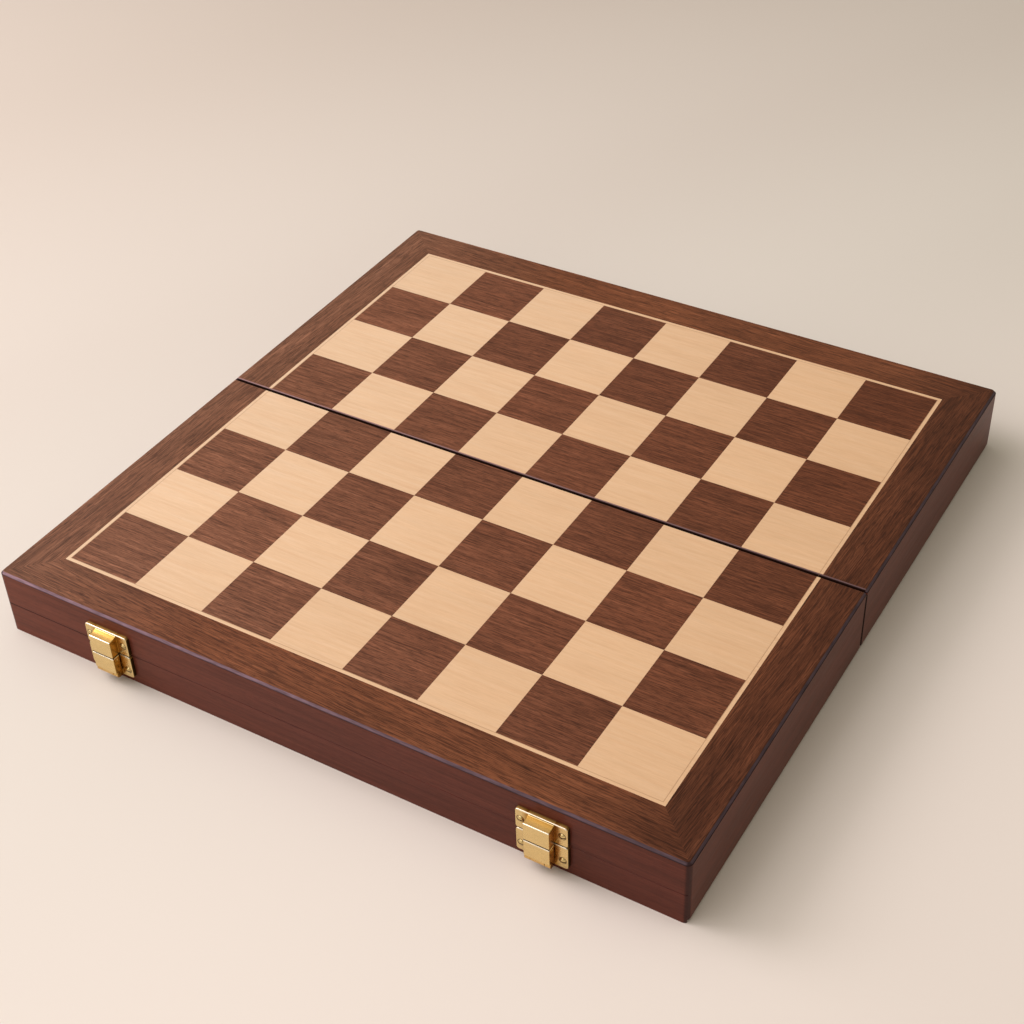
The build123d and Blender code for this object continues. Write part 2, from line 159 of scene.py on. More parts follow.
def wood_layers(tree, place, grain, look):
    """Figure, streaks, fibres and pores of a wood, each as a value about 0.5."""
    place = add_node(tree, "VectorRotate", place, rotation_type="Z_AXIS", named={"Angle": look.slant})
    bend = grain_noise(tree, place, grain, 60 * MM, 25 * MM, 2.0, output="Color")
    sway = add_node(tree, "VectorMath", bend, (look.sway,) * 3, place, operation="MULTIPLY_ADD")
    return {
        "figure": grain_noise(tree, sway, grain, look.figure_length, look.figure_width, 3.0),
        "streaks": grain_noise(tree, sway, grain, look.streak_length, look.streak_width, 4.0),
        "fibres": grain_noise(tree, sway, grain, look.fibre_length, look.fibre_width, 3.0),
        "pores": grain_noise(tree, sway, grain, look.pore_length, look.pore_width, 1.0),
    }


def wood_colour(tree, place, layers, look, with_painted_light=True):
    """The wood's colour from its layers: streaks, broad figure, fine fibres and dark pores, and where asked,
    painted light that makes it paler at the left and darker at the right.
    """
    ramp = add_node(tree, "ValToRGB", layers["streaks"])
    stops = ramp.node.color_ramp.elements
    stops[0].position, stops[0].color = 0.3, look.dark
    stops[1].position, stops[1].color = 0.72, look.light
    stops.new(0.5).color = look.middle
    colour = shaded(tree, ramp, layers["figure"], look.figure_depth)
    colour = shaded(tree, colour, layers["fibres"], look.fibre_depth)
    pores = add_node(tree, "MapRange", layers["pores"], 0.55, 0.61, 0.0, look.pore_depth)
    colour = add_node(tree, "Mix", pores, colour, tuple(look.pore), data_type="RGBA")
    if not with_painted_light:
        return colour
    # Painted light: three tints along a direction make the wood paler at the left, where the lamps' sheen
    # falls, and darker at the right
    way = add_node(tree, "VectorMath", place, tuple(look.painted_light_way), operation="DOT_PRODUCT", output="Value")
    left = add_node(tree, "MapRange", way, -BOARD_HALF, look.painted_light_from, 0.0, 1.0)
    right = add_node(tree, "MapRange", way, look.painted_light_to, look.painted_light_end, 0.0, 1.0)
    tint = add_node(tree, "Mix", left, (*look.left_painted_light, 1), (*look.middle_painted_light, 1), data_type="RGBA")
    tint = add_node(tree, "Mix", right, tint, (*look.right_painted_light, 1), data_type="RGBA")
    return add_node(tree, "VectorMath", colour, tint, operation="MULTIPLY")


def lacquer(tree, surface, layers, look):
    """Satin lacquer over open grain: fibres and pores show in the bump under a smooth coat."""
    height = add_node(tree, "Math", layers["fibres"], layers["pores"], operation="SUBTRACT")
    grain_bump = {"Height": height, "Strength": look.bump, "Distance": 0.05 * MM}
    tree.links.new(add_node(tree, "Bump", named=grain_bump), surface["Normal"])
    smoother, rougher = look.roughness - 0.04, look.roughness + 0.05
    roughness = add_node(tree, "MapRange", layers["fibres"], 0.3, 0.7, smoother, rougher)
    tree.links.new(roughness, surface["Roughness"])
    surface["IOR"].default_value = look.gloss_index
    surface["Coat Weight"].default_value = look.coat
    surface["Coat Roughness"].default_value = 0.14


def past_rounding(tree, place):
    """How far a point lies past the start of the corners' rounding, along x and along y."""
    reach = BOARD_HALF - CORNER_RADIUS
    flat = add_node(tree, "VectorMath", place, (1, 1, 0), operation="MULTIPLY")
    size = add_node(tree, "VectorMath", flat, operation="ABSOLUTE")
    past = add_node(tree, "VectorMath", size, (reach, reach, 0), operation="SUBTRACT")
    return add_node(tree, "VectorMath", past, (0, 0, 0), operation="MAXIMUM")


def edge_distance(tree, place):
    """How far a point lies outside the board's rounded outline; inside it is below zero."""
    length = add_node(tree, "VectorMath", past_rounding(tree, place), operation="LENGTH")
    return add_node(tree, "Math", length, CORNER_RADIUS, operation="SUBTRACT")


def corner_shaded(tree, place, colour, look):
    """The colour with painted shade on the rounding of the outer corners."""
    past = past_rounding(tree, place)
    x, y = (add_node(tree, "SeparateXYZ", past, output=axis) for axis in "XY")
    inside = add_node(tree, "Math", x, y, operation="MINIMUM")
    start, full = 0.1 * CORNER_RADIUS, 0.4 * CORNER_RADIUS
    dark = add_node(tree, "MapRange", inside, start, full, 0.0, look.corner_shade)
    return add_node(tree, "Mix", dark, colour, tuple(look.rim), data_type="RGBA")


def fold_highlight_and_shade(tree, place, colour, look):
    """The colour along the fold: a painted highlight on the rear half's rounded edge, paler at the left, and
    painted shade in the gap between.
    """
    across = add_node(tree, "SeparateXYZ", place, output="Y")
    # A painted highlight on the rear half's rounded edge, paler at the left than at the right
    full, faded = (FOLD_FACE + width for width in FOLD_EDGE_HIGHLIGHT)
    edge = add_node(tree, "MapRange", across, full, faded, 1.0, 0.0)
    behind = add_node(tree, "Math", across, 0.0, operation="GREATER_THAN")
    pale = add_node(tree, "Math", edge, behind, operation="MULTIPLY")
    sideways = add_node(tree, "SeparateXYZ", place, output="X")
    stain = shaded(tree, tuple(look.fold_edge_highlight[:3]), sideways, look.fold_highlight_fade, BOARD_HALF, -BOARD_HALF)
    colour = add_node(tree, "Mix", pale, colour, stain, data_type="RGBA")
    # Painted shade in the gap between the halves
    apart = add_node(tree, "Math", across, operation="ABSOLUTE")
    full, faded = (FOLD_FACE + width for width in FOLD_GAP_SHADE)
    dark = add_node(tree, "MapRange", apart, full, faded, 1.0, 0.0)
    return add_node(tree, "Mix", dark, colour, tuple(look.gap), data_type="RGBA")


def edge_stained_and_shaded(tree, place, grain, colour, look):
    """The border's colour with its chamfer, stained dark with a painted sheen that is paler at the left,
    painted shade along the chamfer's foot and on the rounded corners, and its wall-coloured side.
    """
    height = add_node(tree, "SeparateXYZ", place, output="Z")
    foot = BOARD_TOP - CHAMFER
    # The chamfer: painted shade at its foot, then its dark stain with a painted sheen, mottled along the
    # grain
    ramp = add_node(tree, "ValToRGB", add_node(tree, "MapRange", height, foot, BOARD_TOP, 0.0, 1.0))
    stops = ramp.node.color_ramp.elements
    stops[0].position, stops[0].color = 0.02, look.rim
    stops[1].position, stops[1].color = 0.3, look.chamfer
    band = shaded(tree, ramp, grain_noise(tree, place, grain, 7 * MM, 0.8 * MM, 2.0), 0.35)
    # Painted light: the chamfer is paler at the left and darker at the right
    across = add_node(tree, "SeparateXYZ", place, output="X")
    band = shaded(tree, band, across, look.chamfer_sheen_fade, BOARD_HALF, -BOARD_HALF)
    side = wood_layers(tree, place, grain, look.mahogany)
    side = wood_colour(tree, place, side, look.mahogany, with_painted_light=grain == "X")
    below = add_node(tree, "MapRange", height, foot - 0.05 * MM, foot, 1.0, 0.0)
    outer = add_node(tree, "Mix", below, band, side, data_type="RGBA")
    outer = corner_shaded(tree, place, outer, look)
    outside = edge_distance(tree, place)
    full, faded = (-CHAMFER + width for width in CHAMFER_STAIN_AND_SHEEN)
    cover = add_node(tree, "MapRange", outside, faded, full, 0.0, 1.0)
    return add_node(tree, "Mix", cover, colour, outer, data_type="RGBA")


def ends_shaded(tree, place, grain, colour, look):
    """The side borders' colour, darker towards the ends of the right one."""
    if grain == "X":
        return colour
    x, y = (add_node(tree, "SeparateXYZ", place, output=axis) for axis in "XY")
    full, faded = RIGHT_BORDER_ENDS
    from_fold = add_node(tree, "Math", y, operation="ABSOLUTE")
    end = add_node(tree, "MapRange", from_fold, faded, full, 0.0, look.end_shade)
    right = add_node(tree, "Math", x, 0.0, operation="GREATER_THAN")
    end = add_node(tree, "Math", end, right, operation="MULTIPLY")
    return shaded(tree, colour, end, -1.0, -1.0, 1.0)


def glue_line(tree, place, colour):
    """The stringing's colour with a fine brown line where it meets the squares."""
    size = add_node(tree, "VectorMath", place, operation="ABSOLUTE")
    x, y = (add_node(tree, "SeparateXYZ", size, output=axis) for axis in "XY")
    reach = add_node(tree, "Math", x, y, operation="MAXIMUM")
    full, faded = (FIELD_HALF + width for width in GLUE_LINE)
    line = add_node(tree, "MapRange", reach, full, faded, 0.4, 0.0)
    return add_node(tree, "Mix", line, colour, linear("#7d5638"), data_type="RGBA")


# Sliced walnut and maple veneer: brown with short dark pores, and cream with hardly any figure
def veneer(name, look, wood, grain, squares=False, border=False):
    """Veneer cut across squares or run along a strip, lacquered, with stained edges and with painted light
    and shade along the fold, the chamfer and the corners.
    """
    material, tree, surface, place = blank_material(name)
    ground = place
    if squares:
        # Each square is a veneer of its own: its place in the field shifts the pattern
        cells = add_node(tree, "VectorMath", place, (1 / SQUARE, 1 / SQUARE, 0), operation="MULTIPLY")
        chance = add_node(tree, "TexWhiteNoise", add_node(tree, "VectorMath", cells, operation="FLOOR"))
        shift = chance.node.outputs["Color"]
        ground = add_node(tree, "VectorMath", shift, (VENEER_SPREAD,) * 3, place, operation="MULTIPLY_ADD")
    layers = wood_layers(tree, ground, grain, wood)
    colour = wood_colour(tree, place, layers, wood)
    if squares:
        colour = shaded(tree, colour, chance, wood.square_depth, 0, 1)
    colour = fold_highlight_and_shade(tree, place, colour, look)
    if border:
        colour = edge_stained_and_shaded(tree, place, grain, ends_shaded(tree, place, grain, colour, look), look)
    elif not squares:
        colour = glue_line(tree, place, colour)
    tree.links.new(colour, surface["Base Color"])
    lacquer(tree, surface, layers, wood)
    return material


# Mahogany stained red-brown, with long faint streaks under a satin lacquer
def stained_mahogany(name, look, grain):
    """Straight-grained wall wood, with painted shade where the halves meet and on the rounding of the
    corners.
    """
    material, tree, surface, place = blank_material(name)
    layers = wood_layers(tree, place, grain, look.mahogany)
    colour = wood_colour(tree, place, layers, look.mahogany, with_painted_light=grain == "X")
    if grain == "X":
        height = add_node(tree, "SeparateXYZ", place, output="Z")
        above = add_node(tree, "Math", height, SEAM, operation="SUBTRACT")
        apart = add_node(tree, "Math", above, operation="ABSOLUTE")
        seam = add_node(tree, "MapRange", apart, *SEAM_LINE, 0.7, 0.0)
        across, along = (add_node(tree, "SeparateXYZ", place, output=axis) for axis in "XY")
        # The seam line fades out towards the right
        seam_fade = add_node(tree, "MapRange", across, -BOARD_HALF, BOARD_HALF / 3, 1.0, 0.1)
        seam = add_node(tree, "Math", seam, seam_fade, operation="MULTIPLY")
        # The centre rails are one piece and have no seam
        along = add_node(tree, "Math", along, operation="ABSOLUTE")
        outer_wall = add_node(tree, "Math", along, BOARD_HALF / 2, operation="GREATER_THAN")
        seam = add_node(tree, "Math", seam, outer_wall, operation="MULTIPLY")
        colour = add_node(tree, "Mix", seam, colour, tuple(look.rim), data_type="RGBA")
    # Painted shade on the rounding of the corners, then on the side walls' ends where the halves meet
    colour = corner_shaded(tree, place, colour, look)
    size = add_node(tree, "VectorMath", place, operation="ABSOLUTE")
    across, apart = (add_node(tree, "SeparateXYZ", size, output=axis) for axis in "XY")
    full, faded = (FOLD_FACE + width for width in RAIL_END_SHADE)
    dark = add_node(tree, "MapRange", apart, full, faded, 1.0, 0.0)
    full, faded = (BOARD_HALF - depth for depth in OUTER_FACE)
    outer = add_node(tree, "MapRange", across, faded, full, 0.0, 1.0)
    dark = add_node(tree, "Math", dark, outer, operation="MULTIPLY")
    colour = add_node(tree, "Mix", dark, colour, tuple(look.gap), data_type="RGBA")
    tree.links.new(colour, surface["Base Color"])
    lacquer(tree, surface, layers, look.mahogany)
    return material


# Birch plywood, planed and bare: pale and dull, in plies 1.2 mm thick
def birch_plywood(name):
    """Plies show as lines on the cut edges."""
    material, tree, surface, place = blank_material(name)
    # A wave of scale 1 repeats every 0.314 units, and one repeat is a pale ply and a dark one
    scale = 0.314 / (2 * PLY)
    ply = add_node(tree, "TexWave", place, scale, 0.4, bands_direction="Z", output="Fac")
    colour = add_node(tree, "Mix", ply, linear("#c9a97c"), linear("#a8845a"), data_type="RGBA")
    colour = shaded(tree, colour, grain_noise(tree, place, "X", 14 * MM, 0.8 * MM, 4.0), 0.14)
    tree.links.new(colour, surface["Base Color"])
    surface["Roughness"].default_value = 0.75
    return material


# Flocked felt: short upright fibres, matt, with a soft mottle where they lean
def flocked_felt(name, look):
    """Fibres are drawn at 0.7 mm, coarser than the real ones, so that they show."""
    material, tree, surface, place = blank_material(name)
    nap = grain_noise(tree, place, "X", 14 * MM, 14 * MM, 4.0)
    fibre = grain_noise(tree, place, "X", 0.7 * MM, 0.7 * MM, 2.0)
    colour = shaded(tree, shaded(tree, tuple(look.felt[:3]), nap, 0.2), fibre, 0.25)
    tree.links.new(colour, surface["Base Color"])
    pile = {"Height": fibre, "Strength": 0.6, "Distance": 0.3 * MM}
    tree.links.new(add_node(tree, "Bump", named=pile), surface["Normal"])
    surface["Roughness"].default_value = 0.95
    surface["Sheen Weight"].default_value = 0.5
    surface["Sheen Roughness"].default_value = 0.5
    return material


def painted_brass_shade(tree, place):
    """How bright the latch brass is, as painted shade: dark beside the wall, in the corners behind the hood
    and at its foot.
    """
    x, y, z = (add_node(tree, "SeparateXYZ", place, output=axis) for axis in "XYZ")
    out = add_node(tree, "Math", y, operation="ABSOLUTE")
    depth = add_node(tree, "Math", out, BOARD_HALF, operation="SUBTRACT")
    # Painted shade by depth from the wall: darker beside the wall and at the hood's base, brightening up the
    # hood's slope towards its ridge
    ramp = add_node(tree, "ValToRGB", add_node(tree, "MapRange", depth, 0.0, LATCH_DEPTH, 0.0, 1.0))
    stops = ramp.node.color_ramp.elements
    stops[0].position, stops[0].color = 0.0, linear("#96805f")
    stops[1].position, stops[1].color = 0.965, linear("#ffffff")
    for position, shade in (
        (0.22, "#d8c4a0"),
        (0.27, "#ffffff"),
        (0.31, "#ffffff"),
        (0.33, "#a28755"),
        (0.55, "#cfb68a"),
        (0.9, "#f3e0c3"),
    ):
        stops.new(position).color = linear(shade)
    # A painted shade line along the keeper's foot
    foot = add_node(tree, "MapRange", z, KEEPER_FOOT - 0.05 * MM, KEEPER_FOOT, 0.0, 1.0)
    full, faded = (KEEPER_FOOT + width for width in KEEPER_FOOT_LINE)
    line = add_node(tree, "MapRange", z, full, faded, 0.95, 0.0)
    dark = add_node(tree, "Math", foot, line, operation="MULTIPLY")
    # How far a point lies from the middle of its latch
    side = add_node(tree, "Math", x, operation="ABSOLUTE")
    side = add_node(tree, "Math", side, LATCH_MIDDLE, operation="SUBTRACT")
    reach = add_node(tree, "Math", side, operation="ABSOLUTE")
    flat = add_node(tree, "CombineXYZ", reach, 0.0, z)
    # Painted shade in a ring round each screw head
    full, faded = (SCREW_HEAD + width for width in SCREW_RING)
    for height in SCREW_HEIGHTS:
        centre = (SCREW_REACH, 0, height)
        gap = add_node(tree, "VectorMath", flat, centre, operation="DISTANCE", output="Value")
        near = add_node(tree, "MapRange", gap, full, faded, 0.85, 0.0)
        dark = add_node(tree, "Math", dark, near, operation="MAXIMUM")
    # The strikes at the back have their screws elsewhere
    front = add_node(tree, "Math", y, 0.0, operation="LESS_THAN")
    dark = add_node(tree, "Math", dark, front, operation="MULTIPLY")
    # Painted shade on the plates' cut sides
    full, faded = (PLATE_HALF - width for width in PLATE_RIM)
    rim = add_node(tree, "MapRange", reach, faded, full, 0.0, 0.9)
    dark = add_node(tree, "Math", dark, rim, operation="MAXIMUM")
    # The hood's sides, and the plate beside them, are in painted shade, deeper on the right latch than on the
    # left
    beside = add_node(tree, "MapRange", reach, HOOD_HALF - 0.1 * MM, HOOD_HALF, 0.0, 1.0)
    full, faded = (HOOD_HALF + width for width in HOOD_SHADE)
    fading = add_node(tree, "MapRange", reach, full, faded, 1.0, 0.0)
    beside = add_node(tree, "Math", beside, fading, operation="MULTIPLY")
    right = add_node(tree, "Math", x, 0.0, operation="GREATER_THAN")
    shade = add_node(tree, "Mix", right, linear("#e6d8b0"), linear("#c8a868"), data_type="RGBA")
    shade = add_node(tree, "Mix", beside, linear("#ffffff"), shade, data_type="RGBA")
    tone = add_node(tree, "VectorMath", ramp, shade, operation="MULTIPLY")
    return add_node(tree, "Mix", dark, tone, linear("#3a2a1a"), data_type="RGBA")


def painted_edge_highlights(tree, place):
    """Painted highlights along the brass edges: the plates' upper edges, the flap's and the hood's ridge."""
    y, z = (add_node(tree, "SeparateXYZ", place, output=axis) for axis in "YZ")
    highlights = 0.0
    for height, width, depth in (
        (KEEPER_TOP, 0.4 * MM, 1.3 * MM),
        (HASP_TOP, 0.4 * MM, 1.3 * MM),
        (KEEPER_TOP - RIDGE_DROP + 0.2 * MM, 0.45 * MM, 5.0 * MM),
    ):
        edge = add_node(tree, "Math", z, height - width / 2, operation="SUBTRACT")
        apart = add_node(tree, "Math", edge, operation="ABSOLUTE")
        band = add_node(tree, "MapRange", apart, width / 2, width / 2 + 0.08 * MM, 0.85, 0.0)
        forward = add_node(tree, "Math", y, -BOARD_HALF - depth, operation="LESS_THAN")
        band = add_node(tree, "Math", band, forward, operation="MULTIPLY")
        highlights = add_node(tree, "Math", highlights, band, operation="MAXIMUM")
    return highlights


# Brass, buffed and lacquered: a soft mirror with faint marks 0.15 mm wide along the plates
def buffed_brass(name, look, roughness, shade_and_highlights_painted=False):
    """Warm yellow metal with slightly uneven polish; on the latches, painted shade in its corners and painted
    highlights along its edges.
    """
    material, tree, surface, place = blank_material(name)
    marks = grain_noise(tree, place, "X", 5 * MM, 0.15 * MM, 3.0)
    cloud = grain_noise(tree, place, "X", 6 * MM, 6 * MM, 2.0)
    colour = shaded(tree, tuple(look.brass[:3]), cloud, 0.04)
    if shade_and_highlights_painted:
        # Painted shade in the corners
        colour = add_node(tree, "VectorMath", colour, painted_brass_shade(tree, place), operation="MULTIPLY")
        # Painted highlights along the edges
        colour = add_node(tree, "Mix", painted_edge_highlights(tree, place), colour, linear("#fff4dc"), data_type="RGBA")
    tree.links.new(colour, surface["Base Color"])
    surface["Metallic"].default_value = 1.0
    rough = add_node(tree, "MapRange", marks, 0.3, 0.7, roughness - 0.04, roughness + 0.06)
    if shade_and_highlights_painted:
        # The cut edges of the plates are left unpolished
        away = add_node(tree, "SeparateXYZ", place, output="Y")
        away = add_node(tree, "Math", away, operation="ABSOLUTE")
        full, faded = (BOARD_HALF + width for width in CUT_EDGE)
        cut = add_node(tree, "MapRange", away, full, faded, 0.35, 0.0)
        rough = add_node(tree, "Math", rough, cut, operation="ADD")
    tree.links.new(rough, surface["Roughness"])
    scratches = {"Height": marks, "Strength": 0.05, "Distance": 0.03 * MM}
    tree.links.new(add_node(tree, "Bump", named=scratches), surface["Normal"])
    return material


# Turned brass screws, polished on the dome, with painted shade in the slot
def screw_brass(name, look):
    """Bright domes with painted shade in the slot along the plate."""
    material, tree, surface, place = blank_material(name)
    height = add_node(tree, "SeparateXYZ", place, output="Z")
    dark = 0.0
    # Painted shade in each screw's slot
    for middle in SCREW_HEIGHTS:
        above = add_node(tree, "Math", height, middle, operation="SUBTRACT")
        apart = add_node(tree, "Math", above, operation="ABSOLUTE")
        slot = add_node(tree, "MapRange", apart, *SCREW_SLOT, 0.9, 0.0)
        dark = add_node(tree, "Math", dark, slot, operation="MAXIMUM")
    colour = add_node(tree, "Mix", dark, tuple(look.brass), linear("#3a2410"), data_type="RGBA")
    tree.links.new(colour, surface["Base Color"])
    surface["Metallic"].default_value = 1.0
    surface["Roughness"].default_value = look.brass_roughness
    return material


def dress(node, material):
    """Gives a fixed node its finish and leaves its mesh alone."""
    target = frame["nodes"][node]
    target.data.materials.clear()
    target.data.materials.append(material)


def only(piece):
    """Selects one object alone and makes it active."""
    bpy.ops.object.select_all(action="DESELECT")
    piece.select_set(True)
    bpy.context.view_layer.objects.active = piece


def pick(piece, kind, wanted):
    """Goes into edit mode with the wanted faces or edges selected."""
    only(piece)
    bpy.ops.object.mode_set(mode="EDIT")
    bpy.ops.mesh.select_mode(type=kind)
    bpy.ops.mesh.select_all(action="DESELECT")
    bpy.ops.object.mode_set(mode="OBJECT")
    for element in piece.data.polygons if kind == "FACE" else piece.data.edges:
        element.select = wanted(element)
    bpy.ops.object.mode_set(mode="EDIT")


def stand_for(piece, node):
    """Rides a finished piece on its node's body in that node's place."""
    bodies = frame["record"]["behaviour"]["bodies"]
    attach(piece, next(body for body, nodes in bodies.items() if node in nodes))
    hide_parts(node)


def eased_copy(node, width, material):
    """A copy of a fixed node with its doubles merged and its sharp edges rounded."""
    piece = bpy.data.objects.new(f"{node}_eased", frame["nodes"][node].data.copy())
    bpy.context.scene.collection.objects.link(piece)
    only(piece)
    bpy.ops.mesh.customdata_custom_splitnormals_clear()
    bpy.ops.object.mode_set(mode="EDIT")
    bpy.ops.mesh.select_all(action="SELECT")
    bpy.ops.mesh.remove_doubles(threshold=0.002 * MM)
    bpy.ops.mesh.dissolve_limited(angle_limit=math.radians(0.5))
    bpy.ops.object.mode_set(mode="OBJECT")
    bpy.ops.object.modifier_add(type="BEVEL")
    bevel = piece.modifiers[-1]
    bevel.width = width
    bevel.segments = 2
    bevel.limit_method = "ANGLE"
    bevel.angle_limit = math.radians(32)
    bevel.harden_normals = True
    bpy.ops.object.shade_smooth()
    bpy.ops.object.modifier_apply(modifier=bevel.name)
    piece.data.materials.clear()
    piece.data.materials.append(material)
    stand_for(piece, node)


def colour_property(name, description, colour):
    """A colour given as an sRGB hex value."""
    return FloatVectorProperty(
        name=name, description=description, default=linear(colour), size=4, subtype="COLOR"
    )


def length_property(name, description, millimetres):
    """A length given in millimetres."""
    return FloatProperty(name=name, description=description, default=millimetres * MM, min=0, unit="LENGTH")


def place_property(name, description, millimetres):
    """A place along a line, in millimetres from the middle of the board."""
    return FloatProperty(name=name, description=description, default=millimetres * MM, unit="LENGTH")


def power_property(name, description, watts):
    """The power of a lamp."""
    return FloatProperty(name=name, description=description, default=watts, min=0, unit="POWER")


def turn_property(name, description, degrees):
    """An angle given in degrees."""
    return FloatProperty(name=name, description=description, default=math.radians(degrees), unit="ROTATION")


def share_property(name, description, value):
    """A share of one."""
    return FloatProperty(name=name, description=description, default=value, min=0, subtype="FACTOR")


def tint_property(name, description):
    """A factor for each channel of a colour."""
    return FloatVectorProperty(name=name, description=description, default=(1, 1, 1), min=0)


class WoodLook(bpy.types.PropertyGroup):
    """Colours and grain of one wood."""

    dark: colour_property("Dark", "Darkest streaks", "#5f3725")
    middle: colour_property("Middle", "Main colour", "#6d412c")
    light: colour_property("Light", "Lightest streaks", "#784a34")
    pore: colour_property("Pore", "Colour inside the pores", "#331b12")
    figure_length: length_property("Figure length", "Broad figure, along the grain", 50)
    figure_width: length_property("Figure width", "Broad figure, across the grain", 9)
    figure_depth: share_property("Figure depth", "Change of shade in the figure", 0.12)
    streak_length: length_property("Streak length", "Streaks, along the grain", 28)
    streak_width: length_property("Streak width", "Streaks, across the grain", 1.6)
    fibre_length: length_property("Fibre length", "Fine fibres, along the grain", 12)
    fibre_width: length_property("Fibre width", "Fine fibres, across the grain", 0.36)
    fibre_depth: share_property("Fibre depth", "Change of shade in the fibres", 0.55)
    pore_length: length_property("Pore length", "Open pores, along the grain", 3.5)
    pore_width: length_property("Pore width", "Open pores, across the grain", 0.4)
    pore_depth: share_property("Pore depth", "How dark the pores are", 0.4)
    square_depth: share_property("Square depth", "Change of shade between squares", 0.08)
    sway: length_property("Sway", "How far the grain wanders", 1.2)
    bump: share_property("Bump", "How open the grain feels under the lacquer", 0.2)
    roughness: share_property("Roughness", "Roughness of the wood under the lacquer", 0.42)
    gloss_index: FloatProperty(name="Index", description="Refractive index of the finish", default=1.2, min=1)
    coat: share_property("Coat", "Weight of the lacquer coat", 0.03)
    slant: turn_property("Slant", "How far the grain turns from the edge", 0)
    # The three tints, and the places where they change, are painted light: paler at the left, where the
    # lamps' sheen falls, and darker at the right
    left_painted_light: tint_property("Left tint", "Tint of the wood at the left")
    middle_painted_light: tint_property("Middle tint", "Tint of the wood in the middle")
    right_painted_light: tint_property("Right tint", "Tint of the wood at the right")
    painted_light_way: FloatVectorProperty(
        name="Tint way", description="Direction in which the tint changes", default=(1, 0, 0)
    )
    painted_light_from: place_property("Tint from", "Where the middle tint starts", 0)
    painted_light_to: place_property("Tint to", "Where the middle tint ends", 0)
    painted_light_end: place_property("Tint end", "Where the right tint starts", 150)


class ChessboardSettings(bpy.types.PropertyGroup):
    """Everything that a user would change on the board and its stage."""

    walnut: PointerProperty(type=WoodLook, name="Walnut squares")
    border: PointerProperty(type=WoodLook, name="Walnut border")
    maple: PointerProperty(type=WoodLook, name="Maple")
    mahogany: PointerProperty(type=WoodLook, name="Stained mahogany")
    # The chamfer colour is its dark stain with a painted sheen on it, and the chamfer fade is painted light,
    # paler at the left
    chamfer: colour_property("Chamfer", "Stain on the chamfer", "#6e575e")
    chamfer_sheen_fade: share_property("Chamfer fade", "How much paler the chamfer is at the left", 0.55)
    # The fold edge colour is a painted highlight on the rear half's rounded edge, and its fade makes it paler
    # at the left
    fold_edge_highlight: colour_property("Fold edge", "Stain on the rear half's edge along the fold", "#7d5f5c")
    fold_highlight_fade: share_property("Fold fade", "How much paler the fold edge is at the left", 0.4)
    # The rim colour is the seam's dark joint, and it is also painted shade at the chamfer's foot and on the
    # rounding of the corners
    rim: colour_property("Rim", "Dark stain at the chamfer's foot, on the seam and on the corners", "#2a1716")
    gap: colour_property("Gap", "Shade where the halves meet", "#22100b")
    end_shade: share_property("End shade", "How much darker the right border gets towards its ends", 0.2)
    corner_shade: share_property("Corner stain", "How dark the rounding of the corners is", 0.7)
    brass: colour_property("Brass", "Brass colour", "#e3c88c")
    brass_roughness: share_property("Brass roughness", "Polish of the brass", 0.26)
    felt: colour_property("Felt", "Felt colour", "#1f4a33")
    easing: length_property("Easing", "Rounding of the brass edges", 0.12)
    # The floor colours are painted light: darker towards the back on the left
    floor_near: colour_property("Near floor", "Floor colour at the right and in front", "#e5dace")
    floor_middle: colour_property("Middle floor", "Floor colour under the board", "#d4ccbf")
    floor_back: colour_property("Back floor", "Floor colour behind the board", "#cdc3b6")
    floor_far: colour_property("Far floor", "Floor colour at the left behind the board", "#c3b7a9")
    side_power: power_property("Side box", "Power of the low box on the left", 11)
    key_power: power_property("Key box", "Power of the box high on the left", 6.3)
    fill_power: power_property("Fill boxes", "Power of each weak box", 3)
    room_strength: share_property("Room", "Strength of the even light of the room", 0.42)
    camera_place: FloatVectorProperty(
        name="Camera place",
        description="Where the camera stands",
        subtype="TRANSLATION",
        unit="LENGTH",
        default=(0.29677, -0.48151, 0.46848),
    )
    camera_turn: turn_property("Camera turn", "Turn from straight ahead", -32.19)
    camera_tilt: turn_property("Camera tilt", "Tilt downwards", 38.97)
    camera_roll: turn_property("Camera roll", "Roll about the line of sight", -2.36)
    camera_lens: FloatProperty(name="Camera lens", description="Focal length in mm", default=61.1, min=1)


class CHESSBOARD_OT_squares(bpy.types.Operator):
    """Finish the playing squares and the stringing round them"""

    bl_idname = "chessboard.squares"
    bl_label = "Squares and stringing"

    def execute(self, context):
        look = context.scene.chessboard
        walnut = veneer("walnut_veneer_squares", look, look.walnut, "X", squares=True)
        maple = veneer("maple_veneer_squares", look, look.maple, "X", squares=True)
        string = veneer("maple_stringing", look, look.maple, "X")
        for half in HALVES:
            dress(f"{half}_walnut_squares", walnut)
            dress(f"{half}_maple_squares", maple)
            dress(f"{half}_stringing", string)
        return {"FINISHED"}


class CHESSBOARD_OT_borders(bpy.types.Operator):
    """Finish the mitred walnut border, each strip with its grain along it"""

    bl_idname = "chessboard.borders"
    bl_label = "Borders"

    def execute(self, context):
        look = context.scene.chessboard
        along_x = veneer("walnut_border_long", look, look.border, "X", border=True)
        along_y = veneer("walnut_border_side", look, look.border, "Y", border=True)
        for half in HALVES:
            dress(f"{half}_border_long", along_x)
            for hand in HANDS:
                dress(f"{half}_border_{hand}", along_y)
        return {"FINISHED"}


